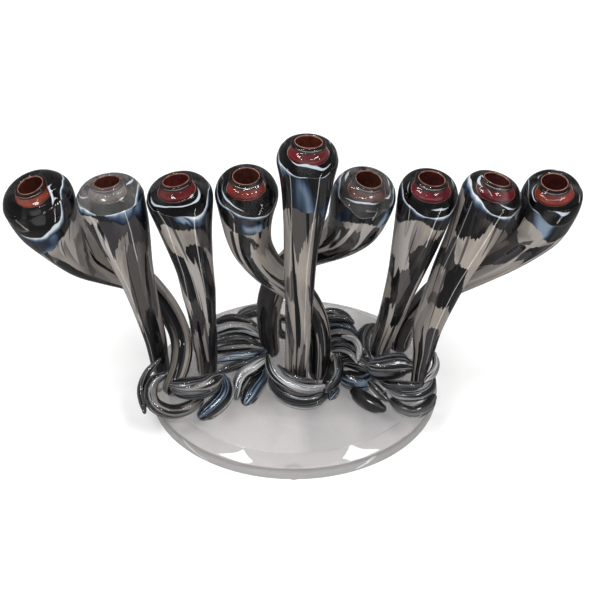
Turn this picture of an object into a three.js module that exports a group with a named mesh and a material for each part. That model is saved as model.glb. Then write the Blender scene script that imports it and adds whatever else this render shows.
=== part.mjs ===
import * as THREE from 'three';

// Nine-branched menorah of blown glass on an oval base plate.
// Lengths are in millimetres. +X is the menorah's right, +Y its back, +Z up.

// Base plate: a clear oval slab with a wide bevel round its upper edge, a little right of the middle.
const PLATE_CENTRE_X = 4;
const PLATE_HALF_LENGTH = 81;
const PLATE_HALF_DEPTH = 69.5;
const PLATE_THICKNESS = 11.5;
const PLATE_EDGE_HEIGHT = 3.2;
const PLATE_BEVEL_WIDTH = 8.5;
const PLATE_BEVEL_ROUND = 0.82;
const PLATE_SIDES = 56;

// Clear bumpers under the plate.
const BUMPER_COUNT = 4;
const BUMPER_RADIUS = 5;
const BUMPER_FOOT_RADIUS = 4.2;
const BUMPER_HEIGHT = 3;
const BUMPER_EDGE_INSET = 6.5;
const BUMPER_SIDES = 14;

// Gap left between two pieces that touch.
const GAP = 0.3;

// Candle socket: a thin coloured liner in a pocket at the head of each arm.
const SOCKET_BORE_RADIUS = 6.5;
const LINER_WALL = 0.8;
const LINER_FLOOR = 1.2;
const LINER_RIM_HEIGHT = 0.7;
const POCKET_DEPTH = 19;
const POCKET_RADIUS = SOCKET_BORE_RADIUS + LINER_WALL + GAP;
const LINER_SIDES = 14;

// Arm: a round glass rod, swollen at the head and drawn thin towards the foot.
const ARM_SIDES = 14;
const ARM_RINGS_PER_SPAN = 2;
const LIP_WIDTH = 0.7;
const DOME_RINGS = 4;
const FOOT_DOME = 0.8;

// Curl: a short drawn strand of glass, thick in the middle and fine at the ends.
const CURL_SIDES = 8;
const CURL_RINGS = 10;
const CURL_TIP = 0.35;
const CURL_FULLNESS = 0.45;

// Each arm: the centre of the socket's mouth, then the centre line from the
// shoulder of the head down to the foot as x, y, z and the rod's radius.
const ARMS = {
  left_outer: {
    mouth: [-127.5, 2, 142],
    path: [
      [-125, 3, 132.5, 18.6],
      [-122, 9, 113, 16.5],
      [-109, 17, 84.5, 11.5],
      [-86.5, 21, 69.5, 9],
      [-74, 19, 58, 7.5],
      [-65.5, 13, 49.5, 6.5],
      [-60, 6, 41.5, 6],
      [-58, -1.5, 34.5, 6],
      [-59.5, -10, 27, 5.5],
      [-63.5, -19, 20.5, 5],
    ],
  },
  left_middle: {
    mouth: [-89, 2, 144],
    path: [
      [-88, 1, 134, 17.2],
      [-84.5, -1, 120, 15],
      [-80.5, -2, 97.5, 11],
      [-77.5, -2, 79.5, 8.5],
      [-74.5, -2, 59.5, 7],
      [-72, -1.5, 40.5, 6],
      [-70.8, -1.5, 20.5, 5],
    ],
  },
  left_inner: {
    mouth: [-54.5, 2, 145],
    path: [
      [-53, 1, 135, 16.9],
      [-51, 0, 116, 13.5],
      [-48, -1, 93, 10],
      [-46.5, -2, 76.5, 9],
      [-45.5, -2, 59.5, 7.5],
      [-45, -1.5, 42, 7],
      [-44.5, -2.5, 31, 6.2],
      [-44.5, -4, 21, 5.5],
    ],
  },
  centre_left: {
    mouth: [-19.5, 2, 147.5],
    path: [
      [-19.5, 3, 136, 15.8],
      [-20, 5, 118.5, 13],
      [-18, 7, 100.5, 11],
      [-10, 9, 83.5, 9],
      [1, 9, 72.5, 8],
      [9.5, 8, 63, 7.5],
      [15.5, 4, 52, 7],
      [18, 0, 39.5, 6.5],
      [18, -4, 28, 6],
      [17.5, -6.5, 21, 5.5],
    ],
  },
  shamash: {
    mouth: [11.5, -6, 173],
    path: [
      [11, -7, 162.5, 15.2],
      [10.5, -9, 147.5, 12.5],
      [9, -10, 126.5, 10],
      [7.5, -11, 105, 8.5],
      [7, -12.5, 79.5, 7.5],
      [6.5, -13.5, 55.5, 7],
      [5.5, -14.5, 38, 6.5],
      [5.5, -15.5, 26, 6],
    ],
  },
  centre_right: {
    mouth: [41.5, 2, 145.5],
    path: [
      [39.5, 3, 135, 16.4],
      [35.5, 8, 115, 14.5],
      [26.5, 15, 98.5, 11],
      [14, 23, 85.5, 9.5],
      [2.5, 27, 73, 8],
      [-6, 26, 59.5, 7.5],
      [-10, 21, 46, 7],
      [-10.5, 16, 34, 6],
      [-9, 11.5, 21, 5],
    ],
  },
  right_inner: {
    mouth: [73, 2, 146],
    path: [
      [71.8, 2, 136, 15],
      [68.5, 3, 113.5, 13],
      [64.5, 5, 88, 10],
      [60.5, 6, 67, 8],
      [57, 8, 47, 7],
      [53.5, 10, 29.5, 6.5],
      [52.6, 10.5, 21.5, 5.7],
    ],
  },
  right_middle: {
    mouth: [105.5, 2, 145.5],
    path: [
      [103, 1, 136, 15.2],
      [96, 0, 114.5, 13],
      [87.5, 0, 89.5, 10.5],
      [82, 1, 68, 9],
      [77.5, 1, 49, 8],
      [75.5, -5, 35, 5.8],
      [73.5, -10, 26.5, 4.5],
      [72.5, -14, 20.5, 4],
    ],
  },
  right_outer: {
    mouth: [134.5, 2, 144],
    path: [
      [134.5, 3, 134, 15.5],
      [130, 9, 112, 14.5],
      [115.5, 16, 87.5, 11],
      [98, 22, 68.5, 9],
      [84, 26, 53, 7.5],
      [73.5, 25, 38, 7],
      [67, 21, 29, 6.5],
      [64, 15.5, 21, 5.5],
    ],
  },
};

// Each curl wrapped round the feet: its greatest radius and its centre line.
const CURLS = {
  left_curl_1: {
    radius: 2,
    path: [[-71.5, -8.8, 31], [-77, -14, 27], [-80, -20, 20.5], [-77.5, -32, 17.5]],
  },
  left_curl_2: {
    radius: 3.5,
    path: [
      [-68.8, -14.5, 26], [-73, -18, 25], [-74.5, -24, 22], [-71.5, -31, 20], [-63, -34.5, 18.5],
      [-54, -32, 18.5], [-47.5, -26.5, 19.5],
    ],
  },
  left_curl_3: {
    radius: 5.5,
    path: [
      [-60, -28, 31.5], [-55.5, -29.5, 31.5], [-49.5, -29.5, 31.5], [-43.5, -28, 31.5],
      [-37.5, -23.5, 32.5],
    ],
  },
  left_curl_4: {
    radius: 5.1,
    path: [[-35.5, -16, 25], [-34, -21, 23], [-35.5, -27, 21.5], [-41, -34, 20.5], [-45, -39, 20.5]],
  },
  left_gap_curl_1: {
    radius: 2.6,
    path: [[-42, 30.5, 25], [-33.5, 32.5, 26.5], [-25.5, 31, 26.5], [-18, 27, 25]],
  },
  left_gap_curl_2: { radius: 3.3, path: [[-29, 42, 19], [-24, 45, 20], [-18, 46, 21], [-11.5, 45, 21.5]] },
  left_gap_curl_3: {
    radius: 3.3,
    path: [[-41.5, 21.5, 26], [-32.5, 22.5, 28], [-24, 21.5, 28], [-16.5, 18, 26]],
  },
  left_gap_curl_4: {
    radius: 2.3,
    path: [[-41, 15, 24.5], [-32, 16, 26], [-23.5, 15.5, 26], [-16.5, 12, 25]],
  },
  left_gap_curl_5: {
    radius: 2.6,
    path: [[-40, 8, 24], [-31.5, 8.5, 25.5], [-23, 9.5, 25.5], [-15.5, 8.5, 25.5]],
  },
  left_gap_curl_6: {
    radius: 2.6,
    path: [[-38, -0.5, 24], [-30.5, 0.5, 25.5], [-22.5, 2, 26], [-14, 4.5, 26.5]],
  },
  left_gap_curl_7: {
    radius: 3.3,
    path: [
      [-11.5, -5, 28.5], [-18, -10.5, 28], [-23.5, -12.5, 25.5], [-26.5, -17, 22.5],
      [-27.5, -23, 19.5],
    ],
  },
  left_gap_curl_8: {
    radius: 4.8,
    path: [[-14, -6, 20.5], [-15.5, -12, 20.5], [-19, -19.5, 20], [-22, -27.5, 20]],
  },
  left_gap_curl_9: {
    radius: 2.4,
    path: [[-36.5, -7, 22.5], [-29.5, -5, 24], [-21, -3, 25], [-13.5, 1, 26]],
  },
  centre_curl_1: {
    radius: 2.8,
    path: [
      [-10, -9.5, 34], [-7.5, -16, 31], [-2, -21.5, 29.5], [5, -25.5, 29], [12, -27.5, 29],
      [18.5, -26, 29],
    ],
  },
  centre_curl_2: {
    radius: 4.6,
    path: [
      [-7.5, -11, 22.5], [-5.5, -16.5, 21], [-0.5, -23, 20], [6.5, -27, 20], [13.5, -27.5, 20],
      [20, -24, 20],
    ],
  },
  centre_curl_3: { radius: 4.2, path: [[27, -5, 30], [27, -10, 28.5], [25.5, -16, 26], [22, -23.5, 25.5]] },
  centre_curl_4: { radius: 3.2, path: [[26.5, -15.5, 18], [25.5, -19, 18.2], [24.5, -22.5, 18.5]] },
  centre_curl_5: {
    radius: 2.4,
    path: [[-1, 30, 27], [-4, 29, 30], [-6, 26, 30], [-5, 22.5, 26], [-1, 23, 21]],
  },
  centre_curl_6: {
    radius: 1.4,
    path: [[-3, -17.5, 35], [2, -22.5, 34.5], [8, -26, 34.5], [14.5, -27.5, 34.5]],
  },
  right_gap_curl_1: {
    radius: 2.6,
    path: [[18.5, 40, 22], [24.5, 42, 23], [31, 40.5, 23], [36.5, 37, 21.5]],
  },
  right_gap_curl_2: {
    radius: 2.8,
    path: [[20, 26.5, 24], [27.5, 28, 25.5], [34.5, 26.5, 25.5], [38.5, 24, 24]],
  },
  right_gap_curl_3: { radius: 2.6, path: [[21, 19, 24], [28, 19, 27], [34, 18, 27], [38.5, 15.5, 25]] },
  right_gap_curl_4: { radius: 3.4, path: [[22.5, 9, 26], [29, 9.5, 28], [35, 7.5, 28], [40, 3, 27]] },
  right_gap_curl_5: { radius: 1.9, path: [[27.5, -1, 32], [31, -2, 33], [35, -4.5, 33], [37.5, -8, 32]] },
  right_gap_curl_6: {
    radius: 3.5,
    path: [[28.5, -1.5, 24.5], [34.5, -3, 26.5], [40.5, -7, 27.5], [44.5, -10, 27]],
  },
  right_gap_curl_7: {
    radius: 4.9,
    path: [[31.5, -8.5, 20.5], [35.5, -11.5, 20], [41.5, -13, 20], [47.5, -10, 20.5]],
  },
  right_gap_curl_8: { radius: 2.8, path: [[46.5, -18.5, 23.5], [50, -22.5, 22.5], [53.5, -26.5, 21]] },
  right_gap_curl_9: {
    radius: 3.9,
    path: [[37.5, -20, 18.7], [41.5, -24.5, 18.7], [46.5, -29, 18.7], [51.5, -32, 18.7]],
  },
  right_gap_curl_10: {
    radius: 2,
    path: [[19.5, 28, 28.5], [25.5, 28.5, 30.5], [31.5, 28.5, 30.5], [36, 27, 29.5]],
  },
  right_gap_curl_11: {
    radius: 1.8,
    path: [[33, 9.5, 33], [37.5, 6, 34], [40, -0.5, 34], [39.5, -6.5, 33]],
  },
  right_curl_1: {
    radius: 6.4,
    path: [[46.8, -12.8, 31.5], [50.5, -14.5, 32], [56.5, -14, 32.5], [62, -13, 32.5], [66.5, -13, 32]],
  },
  right_curl_2: {
    radius: 2.7,
    path: [
      [58, -22.5, 21.5], [61.5, -26, 22.3], [66, -27.5, 23], [72.5, -26.5, 23], [78, -22, 23],
      [80.5, -16, 23.5],
    ],
  },
  right_curl_3: {
    radius: 3.6,
    path: [[58.5, -27, 18.3], [62.5, -31.5, 18.3], [69, -34, 18.3], [75.5, -30.5, 18.3], [80, -24, 18.3]],
  },
  right_curl_4: { radius: 2.2, path: [[82, -4, 31], [82, -9.5, 29], [79.5, -16, 28.5], [76, -22.5, 30.5]] },
  right_curl_5: {
    radius: 3.5,
    path: [[49, 29.5, 23], [45, 24.5, 23.5], [43, 18, 22.5], [43, 9.5, 21.5], [46, 4, 20.5]],
  },
  right_curl_6: {
    radius: 2.5,
    path: [[52.5, -16, 23.5], [57, -21.5, 26], [62.5, -24, 27.8], [68.5, -24.3, 27.8], [72, -22, 26.5]],
  },
};

const X_AXIS = new THREE.Vector3(1, 0, 0);
const Y_AXIS = new THREE.Vector3(0, 1, 0);

// An oval ring of points round a centre, in the plane of two directions.
function ring(centre, across, up, radiusAcross, radiusUp) {
  return { centre, across, up, radiusAcross, radiusUp };
}

function ringPoint(section, turn) {
  const point = section.centre.clone();
  point.addScaledVector(section.across, section.radiusAcross * Math.cos(turn));
  point.addScaledVector(section.up, section.radiusUp * Math.sin(turn));
  return point;
}

// Closed skin through a row of rings, with a point at each end.
function loft(startPoint, rings, endPoint, sides) {
  const points = [startPoint];
  for (const section of rings) {
    for (let i = 0; i < sides; i += 1) {
      points.push(ringPoint(section, (2 * Math.PI * i) / sides));
    }
  }
  points.push(endPoint);
  const last = points.length - 1;
  const lastRing = last - sides;
  const faces = [];
  for (let i = 0; i < sides; i += 1) {
    const next = (i + 1) % sides;
    faces.push(0, 1 + next, 1 + i);
    faces.push(last, lastRing + i, lastRing + next);
  }
  for (let r = 0; r < rings.length - 1; r += 1) {
    const low = 1 + r * sides;
    const high = low + sides;
    for (let i = 0; i < sides; i += 1) {
      const next = (i + 1) % sides;
      faces.push(low + i, low + next, high + next);
      faces.push(low + i, high + next, high + i);
    }
  }
  const geometry = new THREE.BufferGeometry();
  geometry.setAttribute('position', new THREE.Float32BufferAttribute(points.flatMap((p) => p.toArray()), 3));
  geometry.setIndex(faces);
  geometry.computeVertexNormals();
  return geometry;
}

// Directions across a centre line, carried along it without twisting.
function carriedFrames(centres, firstTangent, lastTangent) {
  const frames = [];
  let across = X_AXIS.clone();
  const last = centres.length - 1;
  for (let i = 0; i <= last; i += 1) {
    const before = centres[Math.max(i - 1, 0)];
    const after = centres[Math.min(i + 1, last)];
    const tangent = after.clone().sub(before).normalize();
    if (i === 0 && firstTangent) {
      tangent.copy(firstTangent);
    }
    if (i === last && lastTangent) {
      tangent.copy(lastTangent);
    }
    across = across.clone().addScaledVector(tangent, -across.dot(tangent)).normalize();
    const up = tangent.clone().cross(across).normalize();
    frames.push({ tangent, across, up });
  }
  return frames;
}

function smoothCurve(points) {
  return new THREE.CatmullRomCurve3(points, false, 'catmullrom', 0.5);
}

// The direction in which a candle stands in an arm's socket.
function socketAxis(arm) {
  const shoulder = new THREE.Vector3(...arm.path[0].slice(0, 3));
  return new THREE.Vector3(...arm.mouth).sub(shoulder).normalize();
}

// Rounded top of the head, from the shoulder up to the lip of the socket.
function domeRings(arm, frame, axis) {
  const shoulder = new THREE.Vector3(...arm.path[0].slice(0, 3));
  const height = new THREE.Vector3(...arm.mouth).distanceTo(shoulder);
  const lipRadius = POCKET_RADIUS + LIP_WIDTH;
  const headRadius = arm.path[0][3];
  const rings = [];
  for (let i = 1; i <= DOME_RINGS; i += 1) {
    const rise = (Math.PI / 2) * (i / DOME_RINGS);
    const radius = lipRadius + (headRadius - lipRadius) * Math.cos(rise);
    const centre = shoulder.clone().addScaledVector(axis, height * Math.sin(rise));
    rings.push(ring(centre, frame.across, frame.up, radius, radius));
  }
  return rings;
}

// Straight-sided pocket sunk into the head for the socket's liner.
function pocketRings(arm, frame, axis) {
  const mouth = new THREE.Vector3(...arm.mouth);
  const floor = mouth.clone().addScaledVector(axis, -POCKET_DEPTH);
  return [
    ring(mouth, frame.across, frame.up, POCKET_RADIUS, POCKET_RADIUS),
    ring(floor, frame.across, frame.up, POCKET_RADIUS, POCKET_RADIUS),
  ];
}

function armGeometry(arm) {
  const footFirst = arm.path.slice().reverse();
  const line = smoothCurve(footFirst.map((station) => new THREE.Vector3(...station.slice(0, 3))));
  const swell = smoothCurve(footFirst.map((station) => new THREE.Vector3(station[3], 0, 0)));
  const spans = (footFirst.length - 1) * ARM_RINGS_PER_SPAN;
  const centres = line.getPoints(spans);
  const radii = swell.getPoints(spans).map((point) => point.x);
  const axis = socketAxis(arm);
  const frames = carriedFrames(centres, null, axis);
  const body = centres.map((centre, i) => ring(centre, frames[i].across, frames[i].up, radii[i], radii[i]));
  const footRadius = radii[0];
  const footDrop = -footRadius * FOOT_DOME;
  const footPoint = centres[0].clone().addScaledVector(frames[0].tangent, footDrop);
  const footBend = Math.PI / 4;
  const footCentre = centres[0].clone().addScaledVector(frames[0].tangent, footDrop * Math.sin(footBend));
  const footRing = footRadius * Math.cos(footBend);
  const foot = ring(footCentre, frames[0].across, frames[0].up, footRing, footRing);
  const head = frames[frames.length - 1];
  const pocket = pocketRings(arm, head, axis);
  const rings = [foot, ...body, ...domeRings(arm, head, axis), ...pocket];
  return loft(footPoint, rings, pocket[1].centre.clone(), ARM_SIDES);
}

// Thin open cup that lines a candle socket.
function linerGeometry(arm) {
  const axis = socketAxis(arm);
  const mouth = new THREE.Vector3(...arm.mouth);
  const across = X_AXIS.clone().addScaledVector(axis, -X_AXIS.dot(axis)).normalize();
  const up = axis.clone().cross(across).normalize();
  const outer = SOCKET_BORE_RADIUS + LINER_WALL;
  const bore = SOCKET_BORE_RADIUS;
  const at = (depth) => mouth.clone().addScaledVector(axis, -depth);
  const bottom = POCKET_DEPTH - GAP;
  const rings = [
    ring(at(bottom), across, up, outer, outer),
    ring(at(-LINER_RIM_HEIGHT), across, up, outer, outer),
    ring(at(-LINER_RIM_HEIGHT), across, up, bore, bore),
    ring(at(bottom - LINER_FLOOR), across, up, bore, bore),
  ];
  return loft(at(bottom), rings, at(bottom - LINER_FLOOR), LINER_SIDES);
}

function curlGeometry(curl) {
  const line = smoothCurve(curl.path.map((point) => new THREE.Vector3(...point)));
  const centres = line.getSpacedPoints(CURL_RINGS - 1);
  const frames = carriedFrames(centres, null, null);
  const rings = centres.map((centre, i) => {
    const along = i / (CURL_RINGS - 1);
    const swell = CURL_TIP + (1 - CURL_TIP) * Math.sin(Math.PI * along) ** CURL_FULLNESS;
    const radius = curl.radius * swell;
    return ring(centre, frames[i].across, frames[i].up, radius, radius);
  });
  const tip = curl.radius * CURL_TIP;
  const start = centres[0].clone().addScaledVector(frames[0].tangent, -tip);
  const end = centres[CURL_RINGS - 1].clone().addScaledVector(frames[CURL_RINGS - 1].tangent, tip);
  return loft(start, rings, end, CURL_SIDES);
}

function plateGeometry() {
  const bottom = BUMPER_HEIGHT;
  const edgeTop = bottom + PLATE_EDGE_HEIGHT;
  const top = bottom + PLATE_THICKNESS;
  const bevelMiddle = edgeTop + (top - edgeTop) * PLATE_BEVEL_ROUND;
  const centre = (height) => new THREE.Vector3(PLATE_CENTRE_X, 0, height);
  const oval = (height, inset) => ring(
    centre(height), X_AXIS, Y_AXIS, PLATE_HALF_LENGTH - inset, PLATE_HALF_DEPTH - inset,
  );
  const rings = [
    oval(bottom, 0),
    oval(edgeTop, 0),
    oval(bevelMiddle, PLATE_BEVEL_WIDTH / 2),
    oval(top, PLATE_BEVEL_WIDTH),
  ];
  return loft(centre(bottom), rings, centre(top), PLATE_SIDES);
}

// Bumpers stand at equal angles, the first at the middle of the plate's front.
function bumperGeometry(index) {
  const turn = -Math.PI / 2 + (2 * Math.PI * index) / BUMPER_COUNT;
  const x = PLATE_CENTRE_X + (PLATE_HALF_LENGTH - BUMPER_EDGE_INSET) * Math.cos(turn);
  const y = (PLATE_HALF_DEPTH - BUMPER_EDGE_INSET) * Math.sin(turn);
  const disc = (height, radius) => ring(new THREE.Vector3(x, y, height), X_AXIS, Y_AXIS, radius, radius);
  const top = BUMPER_HEIGHT - GAP;
  const rings = [disc(0, BUMPER_FOOT_RADIUS), disc(top / 2, BUMPER_RADIUS), disc(top, BUMPER_RADIUS)];
  return loft(new THREE.Vector3(x, y, 0), rings, new THREE.Vector3(x, y, top), BUMPER_SIDES);
}

const clearPlastic = new THREE.MeshStandardMaterial({ color: 0xdcdad6, roughness: 0.05, metalness: 0 });
const clearRubber = new THREE.MeshStandardMaterial({ color: 0xe8e8e6, roughness: 0.3, metalness: 0 });
const armGlass = new THREE.MeshStandardMaterial({ color: 0x6b6562, roughness: 0.05, metalness: 0 });
const linerGlass = new THREE.MeshStandardMaterial({ color: 0x9c2a22, roughness: 0.1, metalness: 0 });
const curlGlass = new THREE.MeshStandardMaterial({ color: 0x55606c, roughness: 0.05, metalness: 0 });

const menorah = new THREE.Group();

function addPiece(name, geometry, material) {
  const piece = new THREE.Mesh(geometry, material);
  piece.name = name;
  menorah.add(piece);
}

addPiece('base_plate', plateGeometry(), clearPlastic);
for (let i = 0; i < BUMPER_COUNT; i += 1) {
  addPiece(`bumper_${i + 1}`, bumperGeometry(i), clearRubber);
}
for (const [place, arm] of Object.entries(ARMS)) {
  addPiece(`arm_${place}`, armGeometry(arm), armGlass);
  addPiece(`socket_liner_${place}`, linerGeometry(arm), linerGlass);
}
for (const [name, curl] of Object.entries(CURLS)) {
  addPiece(name, curlGeometry(curl), curlGlass);
}

// Stand the menorah on the origin: middle of its width and depth, bottom at zero.
const bounds = new THREE.Box3().setFromObject(menorah);
const middle = bounds.getCenter(new THREE.Vector3());
for (const piece of menorah.children) {
  piece.geometry.translate(-middle.x, -middle.y, -bounds.min.z);
}

export default menorah;
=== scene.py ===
import math

import bpy
import numpy as np
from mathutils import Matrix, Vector


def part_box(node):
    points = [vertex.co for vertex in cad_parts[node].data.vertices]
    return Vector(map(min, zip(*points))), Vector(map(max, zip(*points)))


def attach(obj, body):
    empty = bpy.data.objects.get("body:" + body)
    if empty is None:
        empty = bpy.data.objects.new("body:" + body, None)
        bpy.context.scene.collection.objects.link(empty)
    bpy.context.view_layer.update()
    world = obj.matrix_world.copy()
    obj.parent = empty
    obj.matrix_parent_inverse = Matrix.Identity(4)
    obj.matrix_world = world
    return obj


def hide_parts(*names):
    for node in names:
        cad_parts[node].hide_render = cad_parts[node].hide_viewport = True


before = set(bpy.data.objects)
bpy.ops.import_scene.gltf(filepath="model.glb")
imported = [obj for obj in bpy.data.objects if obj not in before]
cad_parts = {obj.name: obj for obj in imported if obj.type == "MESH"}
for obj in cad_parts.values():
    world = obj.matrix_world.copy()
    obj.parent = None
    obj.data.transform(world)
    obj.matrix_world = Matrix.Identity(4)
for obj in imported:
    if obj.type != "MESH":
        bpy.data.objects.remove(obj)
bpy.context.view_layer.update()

RNG = np.random.default_rng(9)
MM = 0.001

# The arms' places, in the order in which they are made.
PLACES = ("left_outer", "left_middle", "left_inner", "centre_left", "shamash",
          "centre_right", "right_inner", "right_middle", "right_outer")


# ---------------------------------------------------------------- reading the frame
def rings_of(node):
    """Centres and radii in mm of a CAD loft's rings, from its lowest end, or else its leftmost."""
    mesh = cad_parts[node].data
    keys, points, index = {}, [], []
    for v in mesh.vertices:
        key = tuple(round(c * 1e6) for c in v.co)
        if key not in keys:
            keys[key] = len(points)
            points.append(np.array(v.co) / MM)
        index.append(keys[key])
    near = [set() for _ in points]
    for a, b in (e.vertices for e in mesh.edges):
        if index[a] != index[b]:
            near[index[a]].add(index[b])
            near[index[b]].add(index[a])
    # a loft ends in a point that its whole first or last ring is joined to
    most = max(len(n) for n in near)
    poles = [i for i, n in enumerate(near) if len(n) == most]
    start = min(poles, key=lambda i: (points[i][2], points[i][0]))
    reached, layer, rings = {start}, [start], []
    while layer:
        ring = np.array([points[i] for i in layer])
        centre = ring.mean(0)
        rings.append((centre, np.linalg.norm(ring - centre, axis=1).mean()))
        layer = sorted({j for i in layer for j in near[i]} - reached)
        reached.update(layer)
    return np.array([np.append(c, r) for c, r in rings])


def smooth(rows, step):
    """Catmull-Rom curve through rows of numbers, step points to a span."""
    ext = np.vstack([2 * rows[0] - rows[1], rows, 2 * rows[-1] - rows[-2]])
    out = []
    for i in range(1, len(ext) - 2):
        a, b, c, d = ext[i - 1:i + 3]
        for t in np.arange(step) / step:
            out.append(0.5 * (2 * b + (c - a) * t + (2 * a - 5 * b + 4 * c - d) * t ** 2
                              + (3 * b - a - 3 * c + d) * t ** 3))
    return np.array(out + [rows[-1]])


def carried(centres):
    """Two directions across a centre line at each point, carried along it without twisting."""
    tangents = np.gradient(centres, axis=0)
    tangents /= np.linalg.norm(tangents, axis=1)[:, None] + 1e-12
    across, frames = np.array([1.0, 0.0, 0.0]), []
    for t in tangents:
        across = across - t * across.dot(t)
        across /= np.linalg.norm(across)
        frames.append((across, np.cross(t, across)))
    return np.array([f[0] for f in frames]), np.array([f[1] for f in frames])


def travelled(centres):
    """Length of each step along a centre line, and the distance travelled at each point."""
    steps = np.linalg.norm(np.diff(centres, axis=0), axis=1)
    return steps, np.append(0.0, np.cumsum(steps))


# ---------------------------------------------------------------- making meshes
def skin(name, rings, material, attributes=None):
    """A closed smooth mesh from rings of points in mm, fanned to a point at each end."""
    count, sides = rings.shape[:2]
    verts = [*rings.reshape(-1, 3), rings[0].mean(0), rings[-1].mean(0)]
    first, last = count * sides, count * sides + 1
    top = (count - 1) * sides
    faces = []
    for r in range(count - 1):
        for i in range(sides):
            j = (i + 1) % sides
            faces.append((r * sides + i, r * sides + j, (r + 1) * sides + j, (r + 1) * sides + i))
    faces += [(first, (i + 1) % sides, i) for i in range(sides)]
    faces += [(last, top + i, top + (i + 1) % sides) for i in range(sides)]
    mesh = bpy.data.meshes.new(name)
    mesh.from_pydata([tuple(v * MM) for v in verts], [], faces)
    mesh.polygons.foreach_set("use_smooth", [True] * len(faces))
    for key, values in (attributes or {}).items():
        ends = [values[r].reshape(sides, -1).mean(0) for r in (0, count - 1)]
        flat = np.vstack([values.reshape(count * sides, -1), *ends])
        is_vector = flat.shape[1] == 3
        layer = mesh.attributes.new(key, "FLOAT_VECTOR" if is_vector else "FLOAT", "POINT")
        layer.data.foreach_set("vector" if is_vector else "value", flat.astype(np.float32).ravel())
    mesh.materials.append(material)
    piece = bpy.data.objects.new(name, mesh)
    bpy.context.scene.collection.objects.link(piece)
    return piece


def full_turn(sides):
    """Directions round a ring, in radians."""
    return np.linspace(0, 2 * np.pi, sides, endpoint=False)


def around(centres, across, up, radii, sides, wobble=None):
    """Rings of points round a centre line; wobble, if any, adds to the radius in each direction."""
    turn = full_turn(sides)
    ring = (np.cos(turn)[None, :, None] * across[:, None, :]
            + np.sin(turn)[None, :, None] * up[:, None, :])
    size = np.broadcast_to(np.asarray(radii)[:, None], (len(centres), sides)).copy()
    if wobble is not None:
        size += wobble(turn)
    return centres[:, None, :] + ring * size[:, :, None]


def on_rod(turn, along, radius):
    """Where each point of a skin lay on the thick rod that it was drawn from, in mm."""
    along = np.repeat(along[:, None], turn.shape[1], 1)
    return np.stack([radius * np.cos(turn), radius * np.sin(turn), along], -1)


# ---------------------------------------------------------------- materials
class Nodes:
    """Small helper that adds nodes to a material and links them."""

    def __init__(self, name):
        self.material = bpy.data.materials.new(name)
        self.material.use_nodes = True
        self.tree = self.material.node_tree
        self.tree.nodes.clear()
        out = self.tree.nodes.new("ShaderNodeOutputMaterial")
        self.shader = self.tree.nodes.new("ShaderNodeBsdfPrincipled")
        self.tree.links.new(self.shader.outputs[0], out.inputs[0])

    def add(self, kind, inputs=None, **settings):
        node = self.tree.nodes.new(kind)
        for key, value in settings.items():
            setattr(node, key, value)
        for key, value in (inputs or {}).items():
            self.put(node.inputs[key], value)
        return node

    def put(self, socket, value):
        if isinstance(value, bpy.types.NodeSocket):
            self.tree.links.new(value, socket)
        else:
            socket.default_value = value

    def set(self, **values):
        """Set the shader's own sockets and hand over the finished material."""
        for key, value in values.items():
            self.put(self.shader.inputs[key.replace("_", " ")], value)
        return self.material

    def attribute(self, name, part="Fac"):
        return self.add("ShaderNodeAttribute", attribute_name=name).outputs[part]

    def math(self, what, a, b=0.0, c=0.0):
        """One Math node; MULTIPLY_ADD is a times b plus c."""
        node = self.add("ShaderNodeMath", operation=what)
        for socket, value in zip(node.inputs, (a, b, c)):
            self.put(socket, value)
        return node.outputs[0]

    def swing(self, value, amount):
        """A noise about a half, turned into a swing about nought."""
        return self.math("MULTIPLY", self.math("SUBTRACT", value, 0.5), amount)

    def vector(self, what, a, b):
        node = self.add("ShaderNodeVectorMath", operation=what)
        self.put(node.inputs[0], a)
        self.put(node.inputs[1], b)
        return node.outputs[0]

    def stretched(self, place, share):
        """A place on the rod, for a pattern that is longer along the rod by one over the share."""
        return self.vector("MULTIPLY", place, (1.0, 1.0, share))

    def mix(self, amount, a, b):
        """Mix two colours, each of them a socket or three numbers."""
        node = self.add("ShaderNodeMix", data_type="RGBA")
        self.put(node.inputs[0], amount)
        for socket, colour in ((node.inputs[6], a), (node.inputs[7], b)):
            self.put(socket, (*colour, 1.0) if isinstance(colour, tuple) else colour)
        return node.outputs[2]

    def noise(self, vector, scale, detail=2.0, rough=0.5):
        return self.add("ShaderNodeTexNoise", {"Vector": vector, "Scale": scale, "Detail": detail,
                                               "Roughness": rough}).outputs[0]

    def ramp(self, value, stops, how="LINEAR"):
        node = self.add("ShaderNodeValToRGB", {"Fac": value})
        node.color_ramp.interpolation = how
        while len(node.color_ramp.elements) < len(stops):
            node.color_ramp.elements.new(0.5)
        for element, (at, colour) in zip(node.color_ramp.elements, stops):
            element.position = at
            element.color = (*colour, 1.0)
        return node.outputs[0]

    def step(self, value, low, high):
        """Nought up to low, one from high on, and a slope between; low may be the larger."""
        node = self.add("ShaderNodeMapRange", {"Value": value, "From Min": low, "From Max": high})
        node.clamp = True
        return node.outputs[0]

    def bump(self, strength, distance, height):
        return self.add("ShaderNodeBump", {"Strength": strength, "Distance": distance,
                                           "Height": height}).outputs[0]


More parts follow.
